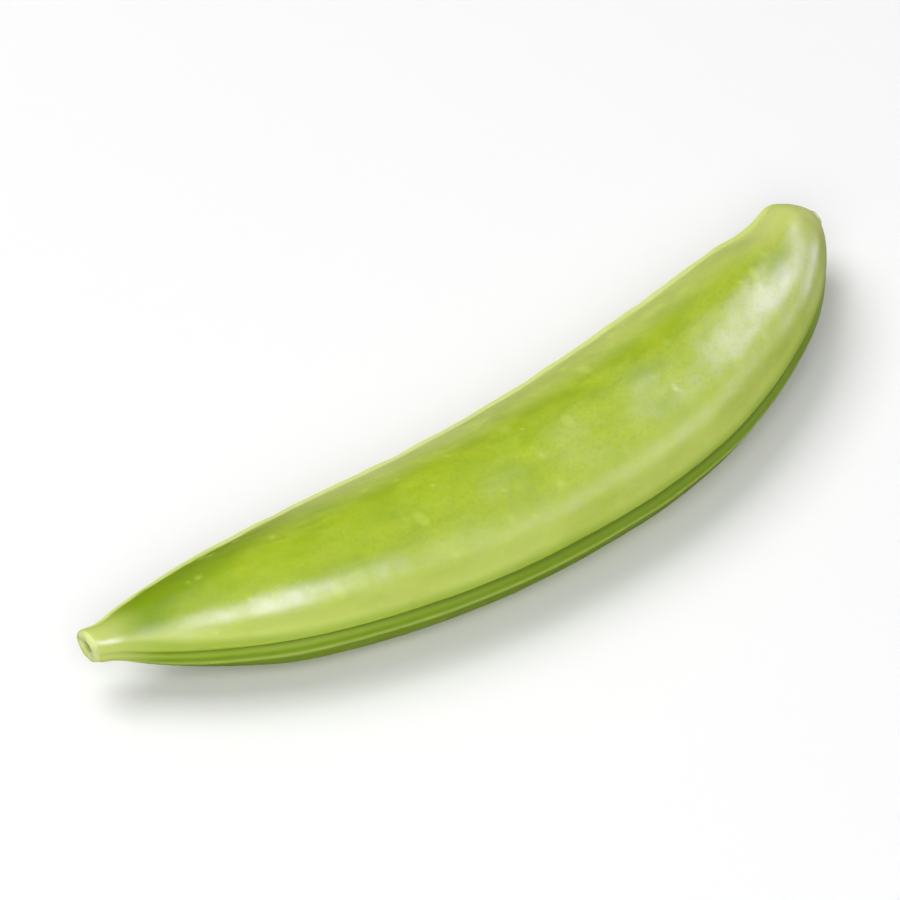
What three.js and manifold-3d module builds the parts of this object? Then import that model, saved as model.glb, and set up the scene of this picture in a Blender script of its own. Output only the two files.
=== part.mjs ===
// A sugar snap pea pod, picked and trimmed, lying on one of its two broad faces.
// A pod grows as one closed piece, so it is one solid.
//
// Millimetres, +Z up. The pod runs along X, from the stem end at -X to the blossom end at
// +X, and bows sideways in the plane that it lies in. Its grooved seam faces -Y and its back
// rib faces +Y. The origin is on the surface that it rests on, under the middle of its box.

import * as THREE from "three";
import { mergeVertices } from "three/addons/utils/BufferGeometryUtils.js";
import Module from "manifold-3d";

// ---- Driving dimensions, in millimetres ----

const podLength = 80; // stem end to blossom end, straight across
const podWidth = 16; // seam to back rib, where the pod is broadest
const podThickness = 12; // face to face, where the pod is thickest
const podBow = 9; // how far the middle swings toward the seam side

const peaCount = 7;
const peaPitch = 8.8; // from one pea to the next
const peaReach = 3.6; // how far along the pod one pea pushes the wall out
const peaSwell = 0.3; // how far it pushes the wall out

const grooveDepth = 0.4;
const grooveWidth = 0.4; // half width of the line where the two halves meet
const lipHeight = 0.28; // how far the lips beside the groove stand proud
const lipOffset = 1.1; // from the groove to the crest of a lip
const lipWidth = 0.65;

const ribHeight = 0.52; // the single fine ridge on the back
const ribWidth = 0.55;
const ribTurn = 14; // degrees that the back has turned up, out of the pod's middle plane

const dipDepth = 0.6; // the back's last dip, before the blossom end
const dipPlace = 0.912; // its share of the way along the pod
const dipReach = 0.034;
const shoulderHeight = 0.6; // the rounded corner after the dip
const shoulderPlace = 0.972;
const shoulderReach = 0.024;

const noseLength = 8.8; // the rounding of the blossom end
const nosePower = 2.8; // 2 is an ellipse; more keeps the end blunt
const tipShare = 0.24; // what the trimmed tip leaves of the section there

const scarDepth = 0.9; // the hollow in the cut stem end
const scarMouth = 0.8; // its radius at the cut
const scarFloor = 0.45; // its radius at the bottom

const restCut = 0.25; // how much of the belly is flattened by lying on it

// ---- How finely the solid is made ----

const sidesAround = 40;
const ringsAlong = 54;
const noseRingShare = 0.14; // the share of the rings that shape the rounded end
const seamCrowding = 0.55; // 0 spaces the sides evenly; more gathers them at seam and rib
const scarSides = 14;

// ---- The pod's outline ----

// Shares of the driving dimensions at even steps from the stem end to the blossom end: how
// far the middle line has bowed, then half the width and half the thickness.
const bowShares = [0, 0.33, 0.59, 0.79, 0.93, 1, 1, 0.92, 0.74, 0.45, 0];
const widthShares = [0.15, 0.56, 0.795, 0.9, 0.945, 0.98, 1, 0.98, 0.895, 0.745, 0.53];
const thicknessShares = [0.2, 0.68, 0.91, 0.975, 1, 1, 1, 0.985, 0.91, 0.77, 0.6];

// 2 is an ellipse; more squares the shoulders, and less draws them in toward a point.
const seamFullness = 2.55;
const ribFullness = 1.6;

/** A smooth run through evenly spaced shares: a uniform cubic B-spline that keeps its ends. */
function smoothShare(shares, along) {
  const last = shares.length - 1;
  const beyond = [2 * shares[0] - shares[1], ...shares, 2 * shares[last] - shares[last - 1]];
  const span = Math.min(Math.floor(along * last), last - 1);
  const t = along * last - span;
  const weights = [
    (1 - t) ** 3,
    3 * t ** 3 - 6 * t ** 2 + 4,
    -3 * t ** 3 + 3 * t ** 2 + 3 * t + 1,
    t ** 3,
  ];
  return weights.reduce((sum, weight, i) => sum + (weight * beyond[span + i]) / 6, 0);
}

/** A smooth hump of height 1 at 0, which has all but gone at 2. */
function bell(x) {
  return Math.exp(-x * x);
}

/** Where a ring stands along the pod, and how far the rounded end has closed in there. */
function ringPlace(share) {
  const straightShare = 1 - noseRingShare;
  const noseStart = 1 - noseLength / podLength;
  if (share <= straightShare) {
    return { along: (share / straightShare) * noseStart, closing: 1 };
  }
  const tipReach = (1 - tipShare ** 2) ** (1 / nosePower);
  const turn = ((share - straightShare) / noseRingShare) * Math.asin(tipReach);
  return {
    along: noseStart + (1 - noseStart) * (Math.sin(turn) / tipReach),
    closing: Math.sqrt(1 - Math.sin(turn) ** nosePower),
  };
}

/** Turns an even angle round the section into one that crowds toward the seam and the rib. */
function crowdedAngle(angle) {
  return angle - (seamCrowding / 2) * Math.sin(2 * angle);
}

/** Distance from the middle to the plain section, before seam, rib and peas. */
function plainRadius(angle, halfWidth, halfThickness) {
  const across = Math.abs(Math.cos(angle)) / halfWidth;
  const up = Math.abs(Math.sin(angle)) / halfThickness;
  const ribShare = (1 + Math.cos(angle)) / 2;
  const fullness = seamFullness + (ribFullness - seamFullness) * ribShare;
  return (across ** fullness + up ** fullness) ** (-1 / fullness);
}

/** How far the peas inside push the wall out, at a place along the pod and round it. */
function peaRelief(along, angle) {
  const middle = podLength * 0.52;
  let swell = 0;
  for (let pea = 0; pea < peaCount; pea += 1) {
    const peaX = middle + (pea - (peaCount - 1) / 2) * peaPitch;
    swell += bell((along * podLength - peaX) / peaReach);
  }
  return peaSwell * swell * Math.abs(Math.sin(angle)) ** 1.5;
}

/** Height of the seam's groove and lips at a distance round the skin from the seam line. */
function seamRelief(distance) {
  const groove = grooveDepth * bell(distance / grooveWidth);
  const lips = lipHeight * bell((Math.abs(distance) - lipOffset) / lipWidth);
  return lips - groove;
}

/** How far the back stands out near the blossom end, where it dips and then shoulders out. */
function backRelief(along) {
  const dip = dipDepth * bell((along - dipPlace) / dipReach);
  const shoulder = shoulderHeight * bell((along - shoulderPlace) / shoulderReach);
  return shoulder - dip;
}

/** The point of the skin at a ring share, an angle from the back rib, and a share of radius. */
function skinPoint(ringShare, evenAngle, radiusShare) {
  const { along, closing } = ringPlace(ringShare);
  const width = smoothShare(widthShares, along);
  const halfWidth = (podWidth / 2) * width;
  const halfThickness = (podThickness / 2) * smoothShare(thicknessShares, along);
  const angle = crowdedAngle(evenAngle);

  // Seam and rib keep their own width along the pod, and fade as the ends close in.
  const fade = Math.min(1, width * closing * 1.4);
  const seamDistance = (Math.PI - Math.abs(angle)) * halfWidth;
  const ribDistance = Math.abs(angle) * halfWidth;
  const backShare = ((1 + Math.cos(angle)) / 2) ** 2;
  const relief =
    fade * (seamRelief(seamDistance) + ribHeight * bell(ribDistance / ribWidth)) +
    closing * (peaRelief(along, angle) + backShare * backRelief(along));

  const radius = plainRadius(angle, halfWidth, halfThickness) * closing + relief;
  const turned = angle + THREE.MathUtils.degToRad(ribTurn) * backShare;
  return new THREE.Vector3(
    along * podLength,
    -podBow * smoothShare(bowShares, along) + radiusShare * radius * Math.cos(turned),
    radiusShare * radius * Math.sin(turned),
  );
}

/** The whole pod before anything is cut away: a closed cylinder drawn out to the pod's skin. */
function podGeometry() {
  const geometry = new THREE.CylinderGeometry(1, 1, 1, sidesAround, ringsAlong, false);
  const position = geometry.getAttribute("position");
  const point = new THREE.Vector3();
  for (let i = 0; i < position.count; i += 1) {
    point.fromBufferAttribute(position, i);
    const radiusShare = Math.min(1, Math.hypot(point.x, point.z));
    const skin = skinPoint(point.y + 0.5, Math.atan2(point.x, point.z), radiusShare);
    position.setXYZ(i, skin.x, skin.y, skin.z);
  }
  return geometry;
}

// ---- Cutting ----

const wasm = await Module();
wasm.setup();

/** A closed geometry as a solid that can be cut. */
function toSolid(geometry) {
  const bare = geometry.clone();
  bare.deleteAttribute("normal");
  bare.deleteAttribute("uv");
  const merged = mergeVertices(bare, 1e-4);
  return new wasm.Manifold(
    new wasm.Mesh({
      numProp: 3,
      vertProperties: new Float32Array(merged.getAttribute("position").array),
      triVerts: new Uint32Array(merged.index.array),
    }),
  );
}

/** A cut solid as a geometry again. */
function toGeometry(solid) {
  const mesh = solid.getMesh();
  const geometry = new THREE.BufferGeometry();
  geometry.setAttribute("position", new THREE.BufferAttribute(mesh.vertProperties, 3));
  geometry.setIndex(new THREE.BufferAttribute(mesh.triVerts, 1));
  geometry.computeVertexNormals();
  return geometry;
}

/** The tapering hollow in the middle of the cut stem end. */
function stemScar() {
  const overshoot = 0.5;
  const geometry = new THREE.CylinderGeometry(
    scarMouth,
    scarFloor,
    scarDepth + overshoot,
    scarSides,
  );
  geometry.rotateZ(Math.PI / 2);
  geometry.translate((scarDepth - overshoot) / 2, 0, 0);
  return geometry;
}

/** Everything below the surface that the pod lies on. */
function groundBelow(height) {
  const depth = podThickness;
  const geometry = new THREE.BoxGeometry(podLength * 2, podLength, depth);
  geometry.translate(podLength / 2, 0, height - depth / 2);
  return geometry;
}

/** The finished pod, flattened where it rests and hollowed at the stem end. */
function finishedPod() {
  const whole = podGeometry();
  whole.computeBoundingBox();
  const ground = groundBelow(whole.boundingBox.min.z + restCut);
  const cut = toSolid(whole).subtract(toSolid(ground)).subtract(toSolid(stemScar()));

  const geometry = toGeometry(cut);
  geometry.computeBoundingBox();
  const { min, max } = geometry.boundingBox;
  return geometry.translate(-(min.x + max.x) / 2, -(min.y + max.y) / 2, -min.z);
}

const podSkin = new THREE.MeshStandardMaterial({
  color: 0x9db838,
  roughness: 0.42,
  metalness: 0,
});

const pod = new THREE.Mesh(finishedPod(), podSkin);
pod.name = "pod";

const part = new THREE.Group();
part.add(pod);

export default part;
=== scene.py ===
"""A sugar snap pea pod, picked and trimmed, lying on its side on a pale studio floor.

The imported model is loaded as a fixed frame, and one finely made pod stands in for its plain
solid. Lengths are in metres, +Z is up, +X runs from the stem end to the blossom end, and the
grooved seam faces -Y.
"""

import logging
import math
import random
from dataclasses import dataclass, field
from enum import Enum
from functools import reduce

import bmesh
import bpy
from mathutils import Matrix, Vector, kdtree, noise


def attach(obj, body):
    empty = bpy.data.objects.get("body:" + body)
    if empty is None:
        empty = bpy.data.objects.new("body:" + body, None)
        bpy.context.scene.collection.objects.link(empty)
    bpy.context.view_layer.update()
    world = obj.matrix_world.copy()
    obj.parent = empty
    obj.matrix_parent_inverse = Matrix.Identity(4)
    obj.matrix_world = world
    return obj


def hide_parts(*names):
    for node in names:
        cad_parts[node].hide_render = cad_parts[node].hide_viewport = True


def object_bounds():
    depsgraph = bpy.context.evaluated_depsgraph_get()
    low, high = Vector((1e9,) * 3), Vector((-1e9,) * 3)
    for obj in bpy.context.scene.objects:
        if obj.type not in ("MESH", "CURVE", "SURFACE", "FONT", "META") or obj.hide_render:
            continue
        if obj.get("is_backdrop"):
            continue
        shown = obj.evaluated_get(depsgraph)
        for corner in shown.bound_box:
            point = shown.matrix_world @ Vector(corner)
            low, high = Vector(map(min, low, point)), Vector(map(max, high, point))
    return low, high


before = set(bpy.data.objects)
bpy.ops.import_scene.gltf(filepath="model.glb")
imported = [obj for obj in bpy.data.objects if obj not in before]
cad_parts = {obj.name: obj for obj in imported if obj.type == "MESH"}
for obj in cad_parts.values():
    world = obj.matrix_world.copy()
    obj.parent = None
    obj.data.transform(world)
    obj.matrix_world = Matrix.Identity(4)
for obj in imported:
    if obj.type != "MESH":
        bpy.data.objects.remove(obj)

LOG = logging.getLogger("pod")
MM = 0.001
CAD_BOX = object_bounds()
Socket = bpy.types.NodeSocket


class Slot(Enum):
    """Material slots of the record."""

    POD_SKIN = "pod_skin"


class Finish(Enum):
    """The order of the finishes in the pod's own material list."""

    SKIN = 0
    CUT = 1


def bell(x: float) -> float:
    """Returns a smooth hump: 1 at 0, and all but gone at 2."""
    return math.exp(-x * x)


def mix(a: float, b: float, share: float) -> float:
    """Returns the value that lies share of the way from a to b."""
    return a + (b - a) * share


def ease(low: float, high: float, x: float) -> float:
    """Returns 0 below low and 1 above high, with a smooth rise between them."""
    t = min(1.0, max(0.0, (x - low) / (high - low)))
    return t * t * (3 - 2 * t)


def smooth_share(shares: tuple[float, ...], along: float) -> float:
    """A smooth run through evenly spaced shares: a uniform cubic B-spline that keeps its ends.

    Args:
        shares: the values at even steps.
        along: where to read it, from 0 at the first value to 1 at the last.

    Returns:
        The value there.
    """
    last = len(shares) - 1
    beyond = (2 * shares[0] - shares[1], *shares, 2 * shares[last] - shares[last - 1])
    span = min(int(along * last), last - 1)
    t = along * last - span
    weights = (
        (1 - t) ** 3,
        3 * t**3 - 6 * t**2 + 4,
        -3 * t**3 + 3 * t**2 + 3 * t + 1,
        t**3,
    )
    return sum(weight * beyond[span + i] for i, weight in enumerate(weights)) / 6


def paint(red: int, green: int, blue: int) -> tuple[float, ...]:
    """Returns the linear colour that nodes use, from display channels of 0 to 255."""
    return (*(linear(channel / 255) for channel in (red, green, blue)), 1.0)


def linear(value: float) -> float:
    """Returns a display channel, 0 to 1, as linear light, by the usual sRGB curve."""
    return value / 12.92 if value <= 0.04045 else ((value + 0.055) / 1.055) ** 2.4


# ---- Shape ----


@dataclass(frozen=True)
class Seam:
    """The groove where the pod's two halves meet, with a low lip on each side of it."""

    groove_depth: float = 0.34 * MM
    groove_width: float = 0.34 * MM
    lip_height: float = 0.24 * MM
    lip_offset: float = 1.1 * MM
    lip_width: float = 0.7 * MM
    pinch_depth: float = 0.04 * MM
    pinch_offset: float = 2.5 * MM
    pinch_width: float = 0.9 * MM

    def relief(self, distance: float) -> float:
        """How far the skin stands out beside the seam.

        Args:
            distance: how far it is round from the seam line.

        Returns:
            The height, less than nothing in the groove.
        """
        groove = self.groove_depth * bell(distance / self.groove_width)
        lip = self.lip_height * bell((distance - self.lip_offset) / self.lip_width)
        pinch = self.pinch_depth * bell((distance - self.pinch_offset) / self.pinch_width)
        return lip - groove - pinch


@dataclass(frozen=True)
class Rib:
    """The single fine ridge along the pod's back. A row is the part of the noise it follows."""

    height: float = 0.52 * MM
    width: float = 0.55 * MM
    wander: float = 0.2 * MM
    wander_size: float = 6.0 * MM
    wander_row: float = 5.0
    lumpiness: float = 0.18
    lump_size: float = 2.4 * MM
    lump_row: float = 8.0

    def shift(self, x: float) -> float:
        """Returns how far the crest has strayed round the pod, at x from the stem end."""
        return self.wander * noise.noise(Vector((x / self.wander_size, self.wander_row, 0.0)))

    def relief(self, distance: float, x: float) -> float:
        """How far the skin stands out at the rib.

        Args:
            distance: how far it is round from the rib's crest.
            x: distance from the stem end.

        Returns:
            The height.
        """
        place = Vector((x / self.lump_size, 0.0, self.lump_row))
        lump = 1 + self.lumpiness * noise.noise(place)
        return self.height * lump * bell(distance / self.width)


@dataclass(frozen=True)
class Peas:
    """The row of peas that push both broad faces out from inside. Shifts are millimetres."""

    swell: float = 0.25 * MM
    reach: float = 3.6 * MM
    pitch: float = 8.8 * MM
    middle: float = 0.52
    sizes: tuple[float, ...] = (0.75, 0.95, 1.1, 1.0, 0.95, 0.65, 0.5)
    shifts: tuple[float, ...] = (0.4, -0.3, 0.2, 0.0, -0.4, 0.3, -0.2)

    def relief(self, x: float, length: float) -> float:
        """How far the peas push the wall out at a place along the pod.

        Args:
            x: distance from the stem end.
            length: the pod's length.

        Returns:
            The swell on the crown of a broad face.
        """
        total = 0.0
        for number, (size, shift) in enumerate(zip(self.sizes, self.shifts)):
            step = number - (len(self.sizes) - 1) / 2
            centre = self.middle * length + step * self.pitch + shift * MM
            total += size * bell((x - centre) / self.reach)
        return self.swell * total


@dataclass(frozen=True)
class Waist:
    """The back's last dip and the shoulder after it, just before the blossom end."""

    dip_depth: float = 0.60 * MM
    dip_place: float = 0.912
    dip_reach: float = 0.034
    shoulder_height: float = 0.80 * MM
    shoulder_place: float = 0.972
    shoulder_reach: float = 0.024

    def relief(self, along: float) -> float:
        """How far the back stands out near the blossom end.

        Args:
            along: the share of the way along the pod.

        Returns:
            The height, less than nothing in the dip.
        """
        dip = self.dip_depth * bell((along - self.dip_place) / self.dip_reach)
        rise = self.shoulder_height * bell((along - self.shoulder_place) / self.shoulder_reach)
        return rise - dip


@dataclass(frozen=True)
class StemScar:
    """The cut stem end: a pale rim round a small hollow.

    Its profile runs from the floor to the rim, with depths in millimetres.
    """

    radius_shares: tuple[float, ...] = (0.0, 0.11, 0.20, 0.26, 0.31, 0.38, 0.54, 0.76, 0.92, 1.0)
    depths: tuple[float, ...] = (0.55, 0.52, 0.42, 0.22, 0.00, -0.20, -0.44, -0.48, -0.34, 0.0)
    wobble: float = 0.24
    wobble_scale: float = 1.6
    wobble_row: float = 4.0
    collar_height: float = 0.30 * MM
    collar_reach: float = 0.75 * MM
    neck_depth: float = 0.10 * MM
    neck_place: float = 2.0 * MM
    neck_reach: float = 0.9 * MM
    rings: int = 18

    def place(self, share: float) -> tuple[float, float]:
        """Returns the share of the radius and the depth at a share of the way to the rim."""
        return smooth_share(self.radius_shares, share), smooth_share(self.depths, share) * MM

    def relief(self, x: float) -> float:
        """Returns how far the collar and the neck behind it stand out, x from the cut."""
        collar = self.collar_height * bell(x / self.collar_reach)
        return collar - self.neck_depth * bell((x - self.neck_place) / self.neck_reach)

    def ragged(self, angle: float, cap_share: float) -> float:
        """Returns how uneven the hollow is at an angle round it and a share of its radius."""
        place = Vector((math.cos(angle), math.sin(angle), self.wobble_row))
        return 1 + self.wobble * noise.noise(place * self.wobble_scale) * (1 - cap_share)


@dataclass(frozen=True)
class TrimmedTip:
    """The little nub that the trimmed style leaves.

    Its profile runs from the skin to the middle, with heights in millimetres.
    """

    radius_shares: tuple[float, ...] = (1.0, 0.97, 0.91, 0.82, 0.68, 0.48, 0.25, 0.0)
    heights: tuple[float, ...] = (0.0, 0.12, 0.24, 0.33, 0.37, 0.34, 0.30, 0.28)
    dryness: float = 0.62
    rings: int = 12

    def place(self, share: float) -> tuple[float, float]:
        """Returns the share of the radius and the height at a share of the way to the middle."""
        return smooth_share(self.radius_shares, share), smooth_share(self.heights, share) * MM


@dataclass(frozen=True)
class Unevenness:
    """How far growth leaves the skin from a perfect form: broad swells and a fine orange peel."""

    broad_height: float = 0.16 * MM
    broad_size: float = 9.0 * MM
    broad_start: tuple[float, ...] = (3.1, 0.0, 0.0)
    middle_height: float = 0.05 * MM
    middle_size: float = 3.0 * MM
    fine_height: float = 0.012 * MM
    fine_size: float = 1.0 * MM
    stretch: float = 0.6
    calm_end: float = 0.08

    def relief(self, place: Vector) -> float:
        """How far the skin stands out at a place.

        Args:
            place: the place along, across and up.

        Returns:
            The height.
        """
        stretched = Vector((place.x * self.stretch, place.y, place.z))
        broad = stretched / self.broad_size + Vector(self.broad_start)
        total = self.broad_height * noise.noise(broad)
        total += self.middle_height * noise.noise(stretched / self.middle_size)
        return total + self.fine_height * noise.noise(place / self.fine_size)


@dataclass(frozen=True)
class Pimples:
    """Tiny pale raised dots scattered over the skin. Gaps are in millimetres."""

    count: int = 90
    seed: int = 11
    least_radius: float = 0.18 * MM
    most_radius: float = 0.42 * MM
    height: float = 0.05 * MM
    least_share: float = 0.4
    steepness: float = 1.2
    reach: float = 2.0
    from_along: float = 0.06
    to_along: float = 0.97
    seam_gap: float = 2.0
    rib_gap: float = 1.2

    def fits(self, along: float, seam: float, rib: float) -> bool:
        """Returns whether a pimple may stand there, clear of the ends, the seam and the rib."""
        clear = seam > self.seam_gap and rib > self.rib_gap
        return clear and self.from_along < along < self.to_along


@dataclass(frozen=True)
class Layers:
    """The named values that each vertex carries for the finishes."""

    straight: bmesh.types.BMLayerItem
    flow: bmesh.types.BMLayerItem
    seam: bmesh.types.BMLayerItem
    rib: bmesh.types.BMLayerItem
    along: bmesh.types.BMLayerItem
    cut: bmesh.types.BMLayerItem
    speck: bmesh.types.BMLayerItem

    @classmethod
    def on(cls, bm: bmesh.types.BMesh) -> "Layers":
        """Adds new layers to a mesh, each named after its field.

        Args:
            bm: the mesh.

        Returns:
            The layers.
        """
        vectors = [bm.verts.layers.float_vector.new(name) for name in ("straight", "flow")]
        names = ("seam", "rib", "along", "cut", "speck")
        return cls(*vectors, *(bm.verts.layers.float.new(name) for name in names))


@dataclass
class Pod:
    """The whole pod: one closed skin, drawn out from a rolled-up grid.

    Each of the grid's rows is a ring round the pod. They run from the middle of the stem
    scar's floor over the rim, along the skin and over the trimmed tip.
    """

    name: str = "sugar_snap_pod"
    length: float = 80 * MM
    width: float = 16 * MM
    thickness: float = 12 * MM
    bow: float = 9 * MM
    rest_cut: float = 0.25 * MM
    nose_length: float = 8.8 * MM
    nose_power: float = 2.4
    tip_share: float = 0.24
    seam_fullness: float = 2.55
    rib_fullness: float = 1.6
    rib_turn: float = math.radians(14)
    bow_shares: tuple[float, ...] = (0, 0.33, 0.59, 0.79, 0.93, 1, 1, 0.92, 0.74, 0.45, 0)
    width_shares: tuple[float, ...] = (
        0.15, 0.56, 0.795, 0.9, 0.945, 0.98, 1, 0.98, 0.895, 0.735, 0.5,
    )
    thickness_shares: tuple[float, ...] = (
        0.2, 0.68, 0.91, 0.975, 1, 1, 1, 0.985, 0.91, 0.77, 0.6,
    )
    seam: Seam = field(default_factory=Seam)
    rib: Rib = field(default_factory=Rib)
    waist: Waist = field(default_factory=Waist)
    peas: Peas = field(default_factory=Peas)
    scar: StemScar = field(default_factory=StemScar)
    tip: TrimmedTip = field(default_factory=TrimmedTip)
    unevenness: Unevenness = field(default_factory=Unevenness)
    pimples: Pimples = field(default_factory=Pimples)
    sides: int = 228
    skin_rings: int = 372
    nose_ring_share: float = 0.14
    crowding: float = 0.55
    edge_fade: float = 1.4
    side_power: float = 1.5
    merge: float = 0.0005 * MM

    def ring_place(self, share: float) -> tuple[float, float]:
        """Where a ring stands along the pod, and how far the rounded end has closed in there.

        Args:
            share: the ring's share of the way from the stem end to the tip.

        Returns:
            The share of the pod's length, and the share of the section that is left.
        """
        straight = 1 - self.nose_ring_share
        nose_start = 1 - self.nose_length / self.length
        if share <= straight:
            return share / straight * nose_start, 1.0
        tip_reach = (1 - self.tip_share**2) ** (1 / self.nose_power)
        turn = (share - straight) / self.nose_ring_share * math.asin(tip_reach)
        along = nose_start + (1 - nose_start) * math.sin(turn) / tip_reach
        return along, math.sqrt(1 - math.sin(turn) ** self.nose_power)

    def plain_radius(self, angle: float, half_width: float, half_thickness: float) -> float:
        """How far the plain section reaches, before any relief.

        Args:
            angle: the angle round from the rib.
            half_width: the section's reach toward the seam and the rib.
            half_thickness: its reach toward the broad faces.

        Returns:
            The distance from the middle.
        """
        across = abs(math.cos(angle)) / half_width
        up = abs(math.sin(angle)) / half_thickness
        fullness = mix(self.seam_fullness, self.rib_fullness, (1 + math.cos(angle)) / 2)
        return (across**fullness + up**fullness) ** (-1 / fullness)

    def shape_ring(self, ring: list, layers: Layers, row: int) -> None:
        """Places one ring of vertices and writes what its finishes need to know.

        Args:
            ring: the ring's (vertex, share round) pairs.
            layers: the mesh's named values.
            row: the ring's number, from the floor of the stem scar.
        """
        skin_share = (row - self.scar.rings) / self.skin_rings
        cap_share, cap_push, cut = 1.0, 0.0, 0.0
        if skin_share < 0:
            cap_share, depth = self.scar.place(row / self.scar.rings)
            cap_push, cut = depth, 1.0
        elif skin_share > 1:
            over = (row - self.scar.rings - self.skin_rings) / self.tip.rings
            cap_share, height = self.tip.place(over)
            cap_push, cut = height, self.tip.dryness
        along, closing = self.ring_place(min(1.0, max(0.0, skin_share)))

        width_share = smooth_share(self.width_shares, along)
        half_width = self.width / 2 * width_share
        half_thickness = self.thickness / 2 * smooth_share(self.thickness_shares, along)
        middle_y = -self.bow * smooth_share(self.bow_shares, along)
        x = along * self.length
        fade = min(1.0, width_share * closing * self.edge_fade)
        calm = ease(0.0, self.unevenness.calm_end, along) * closing
        pea = self.peas.relief(x, self.length)
        rib_shift = self.rib.shift(x)

        for vertex, share_round in ring:
            even = (share_round * 2 - 1) * math.pi
            angle = even - self.crowding / 2 * math.sin(2 * even)
            side = abs(math.sin(angle)) ** self.side_power
            back = ((1 + math.cos(angle)) / 2) ** 2
            turned = angle + self.rib_turn * back
            seam_distance = (math.pi - abs(angle)) * half_width
            rib_distance = abs(angle * half_width - rib_shift)
            plain = self.plain_radius(angle, half_width, half_thickness) * closing
            place = Vector((x, plain * math.cos(angle), plain * math.sin(angle)))
            edges = self.seam.relief(seam_distance) + self.rib.relief(rib_distance, x)
            relief = fade * edges + closing * (pea * side + back * self.waist.relief(along))
            relief += calm * self.unevenness.relief(place)
            relief += self.scar.relief(x)
            radius = (plain + relief) * cap_share
            if skin_share < 0:
                radius *= self.scar.ragged(angle, cap_share)
            vertex.co = (
                x + cap_push,
                middle_y + radius * math.cos(turned),
                radius * math.sin(turned),
            )
            straight = Vector((x + cap_push, *(radius * f(turned) for f in (math.cos, math.sin))))
            vertex[layers.straight] = straight / MM
            vertex[layers.flow] = Vector((straight.x, seam_distance, straight.z)) / MM
            vertex[layers.seam] = seam_distance / MM
            vertex[layers.rib] = rib_distance / MM
            vertex[layers.along] = along
            vertex[layers.cut] = cut * (1 - cap_share)

    def build(self) -> bpy.types.Object:
        """Makes the pod's mesh and settles it where the frame's solid lies.

        Returns:
            The pod's object, at the origin, with its place in its mesh.
        """
        bm = bmesh.new()
        layers = Layers.on(bm)
        rows = self.scar.rings + self.skin_rings + self.tip.rings
        bmesh.ops.create_grid(bm, x_segments=rows, y_segments=self.sides, size=0.5)
        rings: dict[int, list] = {row: [] for row in range(rows + 1)}
        for vertex in bm.verts:
            row = round((vertex.co.x + 0.5) * rows)
            rings[row].append((vertex, vertex.co.y + 0.5))
        for face in bm.faces:
            row = (face.calc_center_median().x + 0.5) * rows
            on_skin = self.scar.rings < row < self.scar.rings + self.skin_rings
            face.material_index = (Finish.SKIN if on_skin else Finish.CUT).value
            face.smooth = True
        for row, ring in rings.items():
            self.shape_ring(ring, layers, row)
        bmesh.ops.remove_doubles(bm, verts=bm.verts, dist=self.merge)
        bmesh.ops.recalc_face_normals(bm, faces=bm.faces)
        self.raise_pimples(bm, layers)
        self.settle(bm)

        mesh = bpy.data.meshes.new(self.name)
        bm.to_mesh(mesh)
        bm.free()
        pod = bpy.data.objects.new(self.name, mesh)
        bpy.context.scene.collection.objects.link(pod)
        return pod

    def raise_pimples(self, bm: bmesh.types.BMesh, layers: Layers) -> None:
        """Raises the scattered dots out of the skin.

        Args:
            bm: the pod's mesh, with its normals right.
            layers: the mesh's named values.
        """
        bm.normal_update()
        bm.verts.ensure_lookup_table()
        tree = kdtree.KDTree(len(bm.verts))
        for index, vertex in enumerate(bm.verts):
            tree.insert(vertex.co, index)
        tree.balance()
        kind = self.pimples
        draw = random.Random(kind.seed)
        skin = [v for v in bm.verts if kind.fits(v[layers.along], v[layers.seam], v[layers.rib])]
        for _ in range(kind.count):
            centre = draw.choice(skin).co.copy()
            radius = draw.uniform(kind.least_radius, kind.most_radius)
            height = kind.height * draw.uniform(kind.least_share, 1.0)
            for _, index, distance in tree.find_range(centre, radius * kind.reach):
                share = bell(distance / radius * kind.steepness)
                vertex = bm.verts[index]
                vertex.co = vertex.co + vertex.normal * height * share
                vertex[layers.speck] = max(vertex[layers.speck], share)

    def settle(self, bm: bmesh.types.BMesh) -> None:
        """Moves the pod to where the frame's solid lies, and flattens the belly on the floor.

        Args:
            bm: the pod's mesh.
        """
        low = [min(v.co[axis] for v in bm.verts) for axis in range(3)]
        high = [max(v.co[axis] for v in bm.verts) for axis in range(3)]
        cad_low, cad_high = CAD_BOX
        shift = Vector(
            (
                (cad_low.x + cad_high.x - low[0] - high[0]) / 2,
                (cad_low.y + cad_high.y - low[1] - high[1]) / 2,
                cad_low.z - low[2] - self.rest_cut,
            )
        )
        bmesh.ops.translate(bm, verts=bm.verts, vec=shift)
        for vertex in bm.verts:
            vertex.co.z = max(vertex.co.z, cad_low.z)

    def dress(self, pod: bpy.types.Object) -> None:
        """Gives the pod its finishes, in the order of Finish.

        Args:
            pod: the pod's object.
        """
        for finish in (WaxySkin(), CutFlesh()):
            pod.data.materials.append(finish.material())


# ---- Finishes ----


@dataclass(frozen=True)
class Fade:
    """A smooth mask over a measure: nothing of it at start, and its full strength at end."""

    start: float
    end: float
    strength: float = 1.0


@dataclass(frozen=True)
class Cloud:
    """A noise: how fine it is, how much finer detail it holds, and how far it is warped."""

    scale: float
    detail: float = 2.0
    warp: float = 0.0


@dataclass(frozen=True)
class Relief:
    """A bump in a finish: how strongly it shows, and how high it stands."""

    strength: float
    height: float


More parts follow.
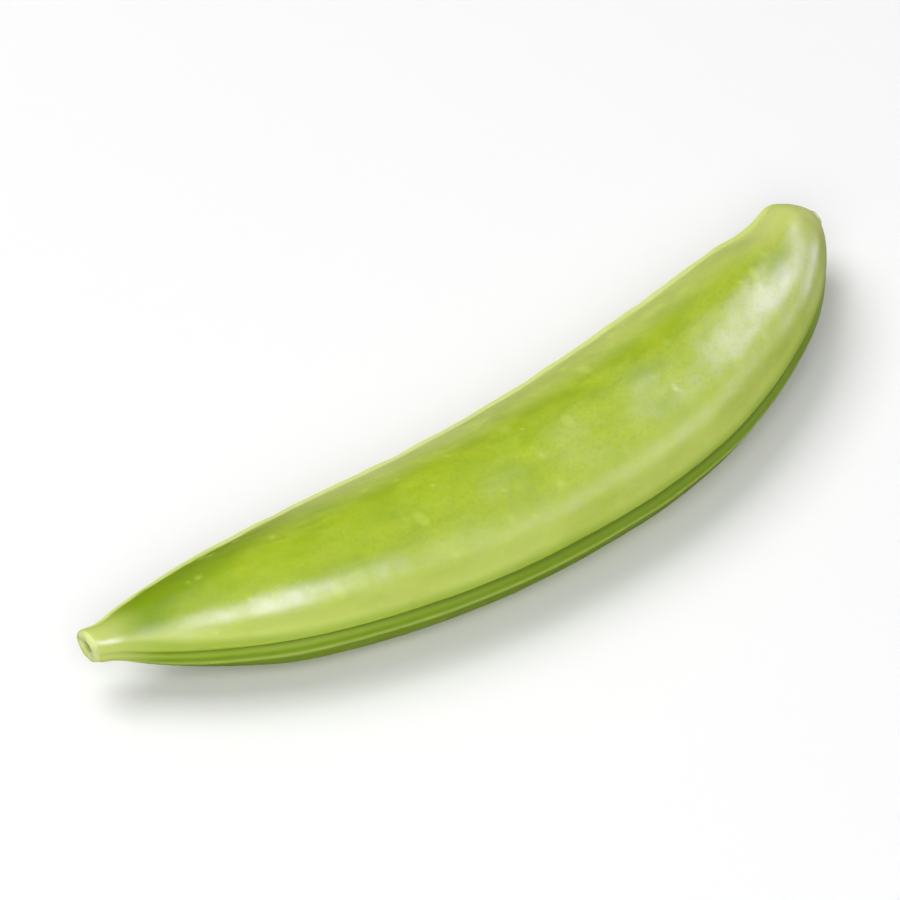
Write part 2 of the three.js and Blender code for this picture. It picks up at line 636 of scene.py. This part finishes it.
class Wiring:
    """Adds nodes to one material or group, and links them."""

    def __init__(self, tree: bpy.types.NodeTree) -> None:
        """Starts on a node tree."""
        self.tree = tree
        self.carried: dict[str, bpy.types.Node] = {}

    def add(self, kind: str, settings: dict | None = None, **inputs: object) -> bpy.types.Node:
        """Adds a node.

        Args:
            kind: the node's type name, without the ShaderNode in front.
            settings: the node's own properties.
            inputs: a value or a socket for each input, with _ for a space in its name.

        Returns:
            The node.
        """
        node = self.tree.nodes.new("ShaderNode" + kind)
        for key, value in (settings or {}).items():
            setattr(node, key, value)
        self.fill(node, **inputs)
        return node

    def fill(self, node: bpy.types.Node, **inputs: object) -> None:
        """Feeds a node's inputs, each given with _ for a space in its name."""
        for key, value in inputs.items():
            self.feed(node.inputs[key.replace("_", " ")], value)

    def feed(self, socket: Socket, value: object) -> None:
        """Links a socket, or sets its own value.

        Args:
            socket: the input to feed.
            value: an output socket to link, or a plain value.
        """
        if isinstance(value, Socket):
            self.tree.links.new(value, socket)
        else:
            socket.default_value = value

    def read(self, name: str, output: str = "Fac") -> Socket:
        """Finds what the vertices carry.

        Args:
            name: the layer's name.
            output: Fac for a number, or Vector.

        Returns:
            The value of that layer.
        """
        if name not in self.carried:
            self.carried[name] = self.add("Attribute", {"attribute_name": name})
        return self.carried[name].outputs[output]

    def place(self) -> Socket:
        """Returns the place on the straightened pod, in millimetres."""
        return self.read("straight", "Vector")

    def flow(self) -> Socket:
        """Returns the place along, round from the seam, and up, in millimetres."""
        return self.read("flow", "Vector")

    def stretch(self, vector: Socket, scale: tuple, turn: tuple = (0.0, 0.0, 0.0)) -> Socket:
        """Returns a vector scaled on each axis, and then turned."""
        return self.add("Mapping", Vector=vector, Rotation=turn, Scale=scale).outputs["Vector"]

    def noise(self, vector: Socket, cloud: Cloud) -> Socket:
        """Returns noise from 0 to 1 on a vector."""
        inputs = {"Scale": cloud.scale, "Detail": cloud.detail, "Distortion": cloud.warp}
        return self.add("TexNoise", Vector=vector, **inputs).outputs["Fac"]

    def fade(self, value: Socket, fade: Fade) -> Socket:
        """Returns a fade's mask over a measure.

        Args:
            value: the measure.
            fade: where the mask starts and ends, and its strength.

        Returns:
            The mask.
        """
        made = self.add("MapRange", {"interpolation_type": "SMOOTHSTEP"}, Value=value)
        self.fill(made, From_Min=fade.start, From_Max=fade.end, To_Min=0.0, To_Max=fade.strength)
        return made.outputs["Result"]

    def math(self, operation: str, *values: object) -> Socket:
        """Works out a sum in a Math node.

        Args:
            operation: what the node does.
            values: a socket or a number for each of its inputs.

        Returns:
            The result.
        """
        node = self.add("Math", {"operation": operation})
        for socket, value in zip(node.inputs, values):
            self.feed(socket, value)
        return node.outputs["Value"]

    def product(self, *values: object) -> Socket:
        """Returns the values multiplied together."""
        return reduce(lambda one, other: self.math("MULTIPLY", one, other), values)

    def blend(self, share: object, first: object, second: object) -> Socket:
        """Turns one colour into another.

        Args:
            share: how much of the second there is, from 0 to 1.
            first: the colour to start from.
            second: the colour that covers it.

        Returns:
            The blended colour.
        """
        node = self.add("Mix", {"data_type": "RGBA"})
        self.feed(node.inputs["Factor"], share)
        colours = [socket for socket in node.inputs if socket.type == "RGBA"]
        self.feed(colours[0], first)
        self.feed(colours[1], second)
        return next(socket for socket in node.outputs if socket.type == "RGBA")

    def mottle(self, vector: Socket, broad_scale: float, fine_scale: float) -> bpy.types.Node:
        """Returns the mottle group, placed on a vector with its own two scales."""
        scales = {"Broad_Scale": broad_scale, "Fine_Scale": fine_scale}
        return self.add("Group", {"node_tree": mottle_group()}, Vector=vector, **scales)


def mottle_group() -> bpy.types.NodeTree:
    """Makes, once, the group that gives broad and fine cloudy masks over a grown surface.

    Returns:
        The node group, with Vector, Broad Scale and Fine Scale in, and Broad and Fine out.
    """
    name = "grown_mottle"
    if name in bpy.data.node_groups:
        return bpy.data.node_groups[name]
    masks = {
        "Broad": (Cloud(1.0, 3.0), Fade(0.35, 0.65)),
        "Fine": (Cloud(1.0, 4.0), Fade(0.32, 0.68)),
    }
    group = bpy.data.node_groups.new(name, "ShaderNodeTree")
    face = group.interface
    face.new_socket("Vector", in_out="INPUT", socket_type="NodeSocketVector")
    for label in masks:
        face.new_socket(label + " Scale", in_out="INPUT", socket_type="NodeSocketFloat")
        face.new_socket(label, in_out="OUTPUT", socket_type="NodeSocketFloat")
    wire = Wiring(group)
    entry = group.nodes.new("NodeGroupInput")
    leave = group.nodes.new("NodeGroupOutput")
    for label, (cloud, edge) in masks.items():
        made = wire.noise(entry.outputs["Vector"], cloud)
        wire.feed(made.node.inputs["Scale"], entry.outputs[label + " Scale"])
        wire.feed(leave.inputs[label], wire.fade(made, edge))
    return group


@dataclass(frozen=True)
class Wax:
    """The thin wax on the skin: a patchy bloom, rubbed off the crown of each broad face."""

    ior: float = 2.2
    roughness: float = 0.345
    beside_seam: Fade = Fade(0.5, 1.4, 0.46)
    beside_rib: Fade = Fade(0.5, 3.0)
    off_tip: Fade = Fade(1.0, 0.94)
    bloom: Cloud = Cloud(0.5, 3.0)
    bloom_edge: Fade = Fade(0.25, 0.75, 0.7)
    bloom_least: float = 0.68

    # The crown, over the share of the way round from the rib to the seam, and then along.
    crown_to_rib: Fade = Fade(0.36, 0.46)
    crown_to_seam: Fade = Fade(0.64, 0.52)
    crown_to_stem: Fade = Fade(0.1, 0.2)
    crown_to_tip: Fade = Fade(0.62, 0.46, 0.5)

    def weight(self, wire: Wiring) -> Socket:
        """Makes the mask of the wax: least in the seam, at the rib, on the crowns and at the tip.

        Args:
            wire: the material's wiring.

        Returns:
            How much wax there is.
        """
        cloud = wire.noise(wire.place(), self.bloom)
        return wire.product(
            wire.fade(wire.read("seam"), self.beside_seam),
            wire.math("ADD", wire.fade(cloud, self.bloom_edge), self.bloom_least),
            wire.math("SUBTRACT", 1.0, self.rubbed(wire)),
            wire.fade(wire.read("rib"), self.beside_rib),
            wire.fade(wire.read("along"), self.off_tip),
        )

    def rubbed(self, wire: Wiring) -> Socket:
        """Makes the mask of the crowns, where handling has rubbed wax off.

        Args:
            wire: the material's wiring.

        Returns:
            The share of the wax that is gone.
        """
        along, rib = wire.read("along"), wire.read("rib")
        round_share = wire.math("DIVIDE", rib, wire.math("ADD", rib, wire.read("seam")))
        return wire.product(
            wire.fade(round_share, self.crown_to_rib),
            wire.fade(round_share, self.crown_to_seam),
            wire.fade(along, self.crown_to_stem),
            wire.fade(along, self.crown_to_tip),
        )


@dataclass(frozen=True)
class Veins:
    """The faint net of veins that slants from the rib to the seam."""

    spacing: tuple[float, ...] = (0.16, 0.5, 0.3)
    slant: tuple[float, ...] = (0.0, 0.0, 0.6)
    wander: Cloud = Cloud(0.35, 3.0)
    wander_reach: float = 1.1
    edge: Fade = Fade(0.3, 0.0)
    patches: Cloud = Cloud(0.22)
    patch_edge: Fade = Fade(0.38, 0.6)

    def net(self, wire: Wiring) -> Socket:
        """Makes the mask of the veins.

        Args:
            wire: the material's wiring.

        Returns:
            The mask.
        """
        wander = wire.noise(wire.place(), self.wander).node.outputs["Color"]
        drawn = wire.stretch(wire.flow(), self.spacing, self.slant)
        shifted = wire.add("VectorMath", {"operation": "MULTIPLY_ADD"})
        for socket, value in zip(shifted.inputs, (wander, [self.wander_reach] * 3, drawn)):
            wire.feed(socket, value)
        cells = wire.add("TexVoronoi", {"feature": "DISTANCE_TO_EDGE"}, Scale=1.0)
        wire.fill(cells, Vector=shifted.outputs["Vector"])
        lines = wire.fade(cells.outputs["Distance"], self.edge)
        patches = wire.noise(wire.place(), self.patches)
        return wire.product(lines, wire.fade(patches, self.patch_edge))


@dataclass(frozen=True)
class Marks:
    """The smallest marks in the skin: green pores, pale dots, soft flecks, the rib's string."""

    pore: Cloud = Cloud(2.6)
    pore_edge: Fade = Fade(0.45, 0.75, 0.3)
    dot_scale: float = 2.4
    dot_edge: Fade = Fade(0.3, 0.12, 0.18)
    dot_patches: Cloud = Cloud(0.6, 1.0)
    dot_patch_edge: Fade = Fade(0.4, 0.65)
    fleck_stretch: tuple[float, ...] = (0.42, 0.2, 0.2)
    fleck_edge: Fade = Fade(0.30, 0.12, 0.35)
    fleck_choice: Fade = Fade(0.5, 0.8)
    string_stray: Cloud = Cloud(0.45)
    string_edge: Fade = Fade(0.6, -0.1, 0.85)

    def pores(self, wire: Wiring) -> Socket:
        """Returns the mask of the fine green grain that shows through the skin."""
        return wire.fade(wire.noise(wire.place(), self.pore), self.pore_edge)

    def dots(self, wire: Wiring) -> Socket:
        """Makes the mask of the tiniest pale dots, thick in some places and thin in others.

        Args:
            wire: the material's wiring.

        Returns:
            The mask.
        """
        dots = wire.add("TexVoronoi", Vector=wire.place(), Scale=self.dot_scale)
        near = wire.fade(dots.outputs["Distance"], self.dot_edge)
        patches = wire.noise(wire.place(), self.dot_patches)
        return wire.product(near, wire.fade(patches, self.dot_patch_edge))

    def flecks(self, wire: Wiring) -> Socket:
        """Makes the mask of the soft pale flecks, drawn out across the pod.

        Args:
            wire: the material's wiring.

        Returns:
            The mask.
        """
        drawn = wire.stretch(wire.flow(), self.fleck_stretch)
        cells = wire.add("TexVoronoi", Vector=drawn, Scale=1.0)
        near = wire.fade(cells.outputs["Distance"], self.fleck_edge)
        tone = wire.add("SeparateColor", Color=cells.outputs["Color"]).outputs["Red"]
        return wire.product(near, wire.fade(tone, self.fleck_choice))

    def string(self, wire: Wiring) -> Socket:
        """Returns the mask of the pale string along the rib, a little wider here and there."""
        stray = wire.noise(wire.place(), self.string_stray)
        return wire.fade(wire.math("SUBTRACT", wire.read("rib"), stray), self.string_edge)


@dataclass(frozen=True)
class Grain:
    """The relief too fine for the mesh: veins, cross wrinkles, orange peel and finest grain."""

    vein: Relief = Relief(0.7, 0.02 * MM)
    wrinkle: Relief = Relief(0.6, 0.055 * MM)
    wrinkle_cloud: Cloud = Cloud(0.5, 1.0, 0.3)
    wrinkle_stretch: tuple[float, ...] = (0.9, 0.45, 0.3)
    wrinkle_slant: tuple[float, ...] = (0.0, 0.0, 0.45)
    peel: Relief = Relief(0.7, 0.065 * MM)
    peel_cloud: Cloud = Cloud(0.75, 1.5, 0.4)
    fine: Relief = Relief(0.4, 0.025 * MM)
    fine_cloud: Cloud = Cloud(2.2, 1.0)

    def normal(self, wire: Wiring, veins: Socket) -> Socket:
        """Makes the normal.

        Args:
            wire: the material's wiring.
            veins: the mask of the veins.

        Returns:
            The normal.
        """
        across = wire.stretch(wire.flow(), self.wrinkle_stretch, self.wrinkle_slant)
        layers = (
            (self.vein, veins),
            (self.wrinkle, wire.noise(across, self.wrinkle_cloud)),
            (self.peel, wire.noise(wire.place(), self.peel_cloud)),
            (self.fine, wire.noise(wire.place(), self.fine_cloud)),
        )
        normal = None
        for relief, height in layers:
            bump = wire.add("Bump", Strength=relief.strength, Distance=relief.height, Height=height)
            if normal:
                wire.fill(bump, Normal=normal)
            normal = bump.outputs["Normal"]
        return normal


@dataclass(frozen=True)
class WaxySkin:
    """The fresh pod's skin: yellow-green, faintly mottled and veined, under a thin wax.

    The names of its fades say what they run over: rib and seam are the distance from those
    in millimetres, and the others are the share of the way along the pod, unless a comment
    says otherwise.
    """

    fresh: tuple = paint(170, 192, 18)
    deep: tuple = paint(138, 168, 12)
    # Painted shade: the deeper green beside the rib near the stem, and on the underside.
    painted_shade: tuple = paint(112, 146, 4)
    sunny: tuple = paint(186, 204, 44)
    pale: tuple = paint(208, 225, 103)
    # The lips' green and the groove's are deepened in part as painted shade.
    lip: tuple = paint(152, 184, 30)
    groove: tuple = paint(104, 132, 8)
    rib: tuple = paint(222, 230, 150)
    end: tuple = paint(208, 218, 120)

    # Clouds of deep and sunny green, and how strongly the small marks are tinted.
    cloud_stretch: tuple[float, ...] = (0.5, 1.0, 1.0)
    broad_scale: float = 0.17
    fine_scale: float = 0.55
    deep_share: float = 0.62
    sunny_share: float = 0.42
    vein_share: float = 0.12
    speck_share: float = 0.5

    # The crowns, and the pale band that the back's rib stands in: a painted sheen, strongest near
    # the rib.
    crown_deepens: Fade = Fade(0.52, 0.38, 0.6)
    back_sheen_starts: Fade = Fade(0.12, 0.32)
    back_sheen_near_rib: Fade = Fade(9.0, 4.0, 0.34)
    rib_sheen_near_rib: Fade = Fade(5.5, 0.6)
    rib_sheen_widens: Fade = Fade(0.56, 0.44, 0.3)
    rib_sheen_least: float = 0.25

    # Painted shade: a deeper green beside the rib, toward the stem end.
    shade_near_stem: Fade = Fade(0.34, 0.12, 0.7)
    shade_near_rib: Fade = Fade(10.0, 5.0)
    shade_off_rib: Fade = Fade(0.3, 1.4)

    # The painted sheen on the pale zone above the lips: over the seam's share of the way round to
    # the rib.
    rim: Fade = Fade(0.32, 0.08)
    low_sheen_clouds: float = 0.4
    low_sheen_least: float = 0.5
    low_sheen_margin: float = 1.0

    # The lips, deepened in part as painted shade, the painted shade on the underside, the painted
    # highlight on the lower lip's crest, and the groove, darkened in part as painted shade. Under
    # runs over the height from the pod's middle, and the groove's edge over how far a place lies
    # inside the open groove.
    lip_near_seam: Fade = Fade(2.0, 1.0, 0.55)
    under: Fade = Fade(-0.2, -0.7)
    belly_shade_near_seam: Fade = Fade(6.0, 3.0, 0.8)
    crest_highlight_off_seam: Fade = Fade(0.8, 1.15, 0.5)
    crest_highlight_near_seam: Fade = Fade(1.8, 1.3)
    groove_opens: Fade = Fade(0.1, 0.5, 0.25)
    groove_least: float = 0.3
    groove_edge: Fade = Fade(-0.25, 0.4, 0.85)

    # The two ends, which pale before they dry, and a painted sheen on the back near the blossom
    # end.
    stem_pales: Fade = Fade(0.06, 0.0, 0.8)
    tip_pales: Fade = Fade(0.88, 1.0, 0.55)
    tip_back_sheen: Fade = Fade(0.84, 0.94, 0.8)
    tip_back_sheen_near_rib: Fade = Fade(10.0, 4.0)
    corner_pales: Fade = Fade(0.97, 0.995, 0.75)

    # How the surface takes the light.
    dull_stretch: tuple[float, ...] = (0.6, 1.0, 1.0)
    dull_cloud: Cloud = Cloud(0.35, 4.0)
    least_roughness: float = 0.39
    most_roughness: float = 0.59
    ior: float = 1.6
    specular: float = 0.12
    scatter: float = 0.3
    scatter_colours: tuple[float, ...] = (0.5, 0.8, 0.18)
    scatter_depth: float = 1.2 * MM

    wax: Wax = Wax()
    veins: Veins = Veins()
    marks: Marks = Marks()
    grain: Grain = Grain()

    def material(self) -> bpy.types.Material:
        """Makes the skin's material.

        Returns:
            The material.
        """
        skin = bpy.data.materials.new("waxy_skin")
        skin.use_nodes = True
        wire = Wiring(skin.node_tree)
        shader = skin.node_tree.nodes["Principled BSDF"]
        veins = self.veins.net(wire)
        wire.fill(
            shader,
            Base_Color=self.colour(wire, veins),
            Roughness=self.dullness(wire),
            Coat_Weight=self.wax.weight(wire),
            Normal=self.grain.normal(wire, veins),
            IOR=self.ior,
            Specular_IOR_Level=self.specular,
            Subsurface_Weight=self.scatter,
            Subsurface_Radius=self.scatter_colours,
            Subsurface_Scale=self.scatter_depth,
            Coat_IOR=self.wax.ior,
            Coat_Roughness=self.wax.roughness,
        )
        return skin

    def colour(self, wire: Wiring, veins: Socket) -> Socket:
        """Builds up the skin's colour, each tint over the one before it.

        Args:
            wire: the material's wiring.
            veins: the mask of the veins.

        Returns:
            The colour.
        """
        clouds = wire.stretch(wire.place(), self.cloud_stretch)
        mottle = wire.mottle(clouds, self.broad_scale, self.fine_scale)
        broad, fine = mottle.outputs["Broad"], mottle.outputs["Fine"]
        tints = (
            (wire.product(broad, self.deep_share), self.deep),
            (wire.product(fine, self.sunny_share), self.sunny),
            (wire.product(veins, self.vein_share), self.pale),
            (self.marks.pores(wire), self.deep),
            (self.marks.dots(wire), self.pale),
            (self.marks.flecks(wire), self.pale),
            *self.back_tints(wire),
            # The pale zone above the lips is a painted sheen.
            (self.low_sheen_mask(wire, broad), self.pale),
            (self.marks.string(wire), self.rib),
            *self.seam_tints(wire),
            *self.end_tints(wire),
            (wire.product(wire.read("speck"), self.speck_share), self.pale),
        )
        colour = self.fresh
        for mask, tint in tints:
            colour = wire.blend(mask, colour, tint)
        return colour

    def back_tints(self, wire: Wiring) -> tuple:
        """Makes the masks of the crowns, of the painted sheen on the back and of the painted shade
        beside the rib.

        Args:
            wire: the material's wiring.

        Returns:
            Each mask with its tint.
        """
        along, rib = wire.read("along"), wire.read("rib")
        crown = wire.product(self.wax.rubbed(wire), wire.fade(along, self.crown_deepens))
        starts = wire.fade(along, self.back_sheen_starts)
        rib_sheen = wire.math("ADD", wire.fade(along, self.rib_sheen_widens), self.rib_sheen_least)
        shade = wire.product(
            wire.fade(along, self.shade_near_stem),
            wire.fade(rib, self.shade_near_rib),
            wire.fade(rib, self.shade_off_rib),
        )
        return (
            (crown, self.deep),
            # This mask and the next are painted sheen along the back, strongest near the rib.
            (wire.product(wire.fade(rib, self.back_sheen_near_rib), starts), self.rib),
            (wire.product(wire.fade(rib, self.rib_sheen_near_rib), rib_sheen, starts), self.rib),
            # Painted shade beside the rib, toward the stem end.
            (shade, self.painted_shade),
        )

    def low_sheen_mask(self, wire: Wiring, broad: Socket) -> Socket:
        """Makes the mask of the painted sheen on the pale zone above the lips.

        Args:
            wire: the material's wiring.
            broad: the broad clouds, which make the zone patchy.

        Returns:
            The mask.
        """
        seam = wire.read("seam")
        girth = wire.math("ADD", wire.math("ADD", seam, wire.read("rib")), self.low_sheen_margin)
        patchy = wire.math("ADD", wire.product(broad, self.low_sheen_clouds), self.low_sheen_least)
        return wire.product(wire.fade(wire.math("DIVIDE", seam, girth), self.rim), patchy)

    def seam_tints(self, wire: Wiring) -> tuple:
        """Makes the masks of the lips, of the painted shade underneath, of the painted highlight on
        the lower lip's crest and of the groove.

        Args:
            wire: the material's wiring.

        Returns:
            Each mask with its tint.
        """
        seam = wire.read("seam")
        height = wire.add("SeparateXYZ", Vector=wire.place()).outputs["Z"]
        under = wire.fade(height, self.under)
        inner, outer = (wire.fade(seam, f) for f in (self.crest_highlight_off_seam, self.crest_highlight_near_seam))
        opened = wire.fade(wire.read("along"), self.groove_opens)
        opened = wire.math("ADD", opened, self.groove_least)
        return (
            # The lips' own green, deepened in part as painted shade.
            (wire.fade(seam, self.lip_near_seam), self.lip),
            # Painted shade on the underside beside the seam.
            (wire.product(under, wire.fade(seam, self.belly_shade_near_seam)), self.painted_shade),
            # A painted highlight on the crest of the lower lip.
            (wire.product(under, inner, outer), self.pale),
            # The groove's darker green, deepened in part as painted shade.
            (wire.fade(wire.math("SUBTRACT", opened, seam), self.groove_edge), self.groove),
        )

    def end_tints(self, wire: Wiring) -> tuple:
        """Makes the masks of the paler stem end and blossom end, of the painted sheen on the back
        near the blossom end, and of the pale corner.

        Args:
            wire: the material's wiring.

        Returns:
            Each mask with its tint.
        """
        along = wire.read("along")
        beside = wire.fade(wire.read("rib"), self.tip_back_sheen_near_rib)
        return (
            (wire.fade(along, self.stem_pales), self.end),
            (wire.fade(along, self.tip_pales), self.end),
            # A painted sheen on the back near the blossom end.
            (wire.product(wire.fade(along, self.tip_back_sheen), beside), self.end),
            (wire.fade(along, self.corner_pales), self.rib),
        )

    def dullness(self, wire: Wiring) -> Socket:
        """Makes the roughness, which is uneven.

        Args:
            wire: the material's wiring.

        Returns:
            The roughness.
        """
        patches = wire.noise(wire.stretch(wire.place(), self.dull_stretch), self.dull_cloud)
        ends = {"To_Min": self.least_roughness, "To_Max": self.most_roughness}
        return wire.add("MapRange", Value=patches, **ends).outputs["Result"]


@dataclass(frozen=True)
class CutFlesh:
    """The moist pale flesh of the cut stem end and the trimmed tip, dark in the hollow."""

    flesh: tuple = paint(218, 226, 152)
    green: tuple = paint(170, 190, 88)
    hollow: tuple = paint(150, 164, 70)
    broad_scale: float = 0.9
    fine_scale: float = 5.0
    green_share: float = 0.5
    hollow_edge: Fade = Fade(0.55, 0.75, 0.9)
    relief: Relief = Relief(0.4, 0.05 * MM)
    roughness: float = 0.5
    scatter: float = 0.3
    scatter_colours: tuple[float, ...] = (0.6, 0.8, 0.3)
    scatter_depth: float = 1.0 * MM

    def material(self) -> bpy.types.Material:
        """Makes the cut flesh's material.

        Returns:
            The material.
        """
        flesh = bpy.data.materials.new("cut_flesh")
        flesh.use_nodes = True
        wire = Wiring(flesh.node_tree)
        mottle = wire.mottle(wire.place(), self.broad_scale, self.fine_scale)
        greener = wire.product(mottle.outputs["Broad"], self.green_share)
        colour = wire.blend(greener, self.flesh, self.green)
        inside = wire.fade(wire.read("cut"), self.hollow_edge)
        rough = wire.add("Bump", Strength=self.relief.strength, Distance=self.relief.height)
        wire.fill(rough, Height=mottle.outputs["Fine"])
        wire.fill(
            flesh.node_tree.nodes["Principled BSDF"],
            Base_Color=wire.blend(inside, colour, self.hollow),
            Normal=rough.outputs["Normal"],
            Roughness=self.roughness,
            Subsurface_Weight=self.scatter,
            Subsurface_Radius=self.scatter_colours,
            Subsurface_Scale=self.scatter_depth,
        )
        return flesh


# ---- Studio ----


def toward(azimuth: float, elevation: float) -> Vector:
    """The direction from the pod to a viewer or a light.

    Args:
        azimuth: degrees round from -Y toward +X.
        elevation: degrees above the floor.

    Returns:
        The unit vector.
    """
    turn, rise = math.radians(azimuth), math.radians(elevation)
    return Vector(
        (
            math.sin(turn) * math.cos(rise),
            -math.cos(turn) * math.cos(rise),
            math.sin(rise),
        )
    )


class Task(Enum):
    """What a studio light is there for."""

    LIGHT = "light"
    GLEAM = "gleam"


# The faint violet of the gleams, which keeps them white over a yellow-green skin.
COOL = (0.70, 0.56, 1.0)


@dataclass(frozen=True)
class SoftBox:
    """One large studio light, aimed at the pod. It lights the scene, or only gleams on it."""

    name: str
    azimuth: float
    elevation: float
    distance: float
    wide: float
    tall: float
    watts: float
    task: Task
    tint: tuple[float, ...] = (1.0, 1.0, 1.0)

    def build(self, target: Vector) -> None:
        """Makes the light.

        Args:
            target: the point that it faces.
        """
        light = bpy.data.lights.new(self.name, "AREA")
        light.shape = "RECTANGLE"
        light.size = self.wide
        light.size_y = self.tall
        light.energy = self.watts
        light.color = self.tint
        lamp = bpy.data.objects.new(self.name, light)
        direction = toward(self.azimuth, self.elevation)
        lamp.location = target + direction * self.distance
        lamp.rotation_euler = (-direction).to_track_quat("-Z", "Y").to_euler()
        lamp.visible_glossy = self.task is not Task.LIGHT
        lamp.visible_diffuse = self.task is not Task.GLEAM
        bpy.context.scene.collection.objects.link(lamp)


@dataclass
class Studio:
    """The pale floor, the soft lights, the white surround and the camera."""

    azimuth: float = -38.0
    elevation: float = 49.0
    distance: float = 0.65
    focal_length: float = 300.0
    aim_right: float = -5.2 * MM
    aim_up: float = 2.2 * MM
    nearest: float = 0.01
    floor_size: float = 6.0
    floor_paint: tuple = paint(243, 243, 243)
    floor_roughness: float = 0.9
    surround: float = 0.26
    lights: tuple[SoftBox, ...] = (
        SoftBox("key_softbox", -150.0, 65.0, 0.8, 0.50, 0.50, 4.0, Task.LIGHT),
        SoftBox("fill_softbox", -40.0, 48.0, 0.8, 0.50, 0.50, 3.3, Task.LIGHT),
        SoftBox("left_card", -33.0, 47.0, 0.8, 0.34, 0.64, 6.9, Task.GLEAM, COOL),
        SoftBox("front_strip", 41.0, 27.0, 0.8, 0.80, 0.30, 1.7, Task.GLEAM, COOL),
        SoftBox("side_card", 101.0, 38.0, 0.8, 0.38, 0.32, 3.8, Task.GLEAM, COOL),
        SoftBox("end_card", 86.0, 3.0, 0.8, 0.36, 0.30, 1.9, Task.GLEAM, COOL),
    )

    def build(self) -> None:
        """Makes the camera first, then the floor, the lights and the surround."""
        low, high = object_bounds()
        centre = (low + high) / 2
        self.build_camera(centre)
        self.build_floor()
        for box in self.lights:
            box.build(centre)
        self.build_surround()

    def build_camera(self, centre: Vector) -> None:
        """Makes the camera and aims it at the pod.

        Args:
            centre: the middle of the pod's box.
        """
        back = toward(self.azimuth, self.elevation)
        turn = (-back).to_track_quat("-Z", "Y")
        lens = bpy.data.cameras.new("camera")
        lens.lens = self.focal_length
        lens.clip_start = self.nearest
        camera = bpy.data.objects.new("camera", lens)
        aside = turn @ Vector((self.aim_right, self.aim_up, 0))
        camera.location = centre + aside + back * self.distance
        camera.rotation_euler = turn.to_euler()
        bpy.context.scene.collection.objects.link(camera)
        bpy.context.scene.camera = camera

    def build_floor(self) -> None:
        """Makes the plain pale floor under the pod."""
        bm = bmesh.new()
        bmesh.ops.create_grid(bm, x_segments=1, y_segments=1, size=self.floor_size / 2)
        mesh = bpy.data.meshes.new("floor")
        bm.to_mesh(mesh)
        bm.free()
        floor = bpy.data.objects.new("floor", mesh)
        bpy.context.scene.collection.objects.link(floor)
        paper = bpy.data.materials.new("floor_paper")
        paper.use_nodes = True
        shader = paper.node_tree.nodes["Principled BSDF"]
        shader.inputs["Base Color"].default_value = self.floor_paint
        shader.inputs["Roughness"].default_value = self.floor_roughness
        mesh.materials.append(paper)
        floor.visible_glossy = False
        floor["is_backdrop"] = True

    def build_surround(self) -> None:
        """Makes the even white light from all round."""
        world = bpy.data.worlds.new("surround")
        world.use_nodes = True
        background = world.node_tree.nodes["Background"]
        background.inputs["Color"].default_value = (1, 1, 1, 1)
        background.inputs["Strength"].default_value = self.surround
        bpy.context.scene.world = world
        world.cycles_visibility.glossy = False
        bpy.context.scene.view_settings.view_transform = "Standard"


def main() -> None:
    """Builds the studio and the pod, and ties the pod to the frame."""
    logging.basicConfig(level=logging.INFO, format="%(name)s: %(message)s")
    Studio().build()

    shape = Pod()
    pod = shape.build()
    shape.dress(pod)
    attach(pod, "root")
    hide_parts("pod")
    LOG.info("%s: %d faces", pod.name, len(pod.data.polygons))


if __name__ == "__main__":
    main()
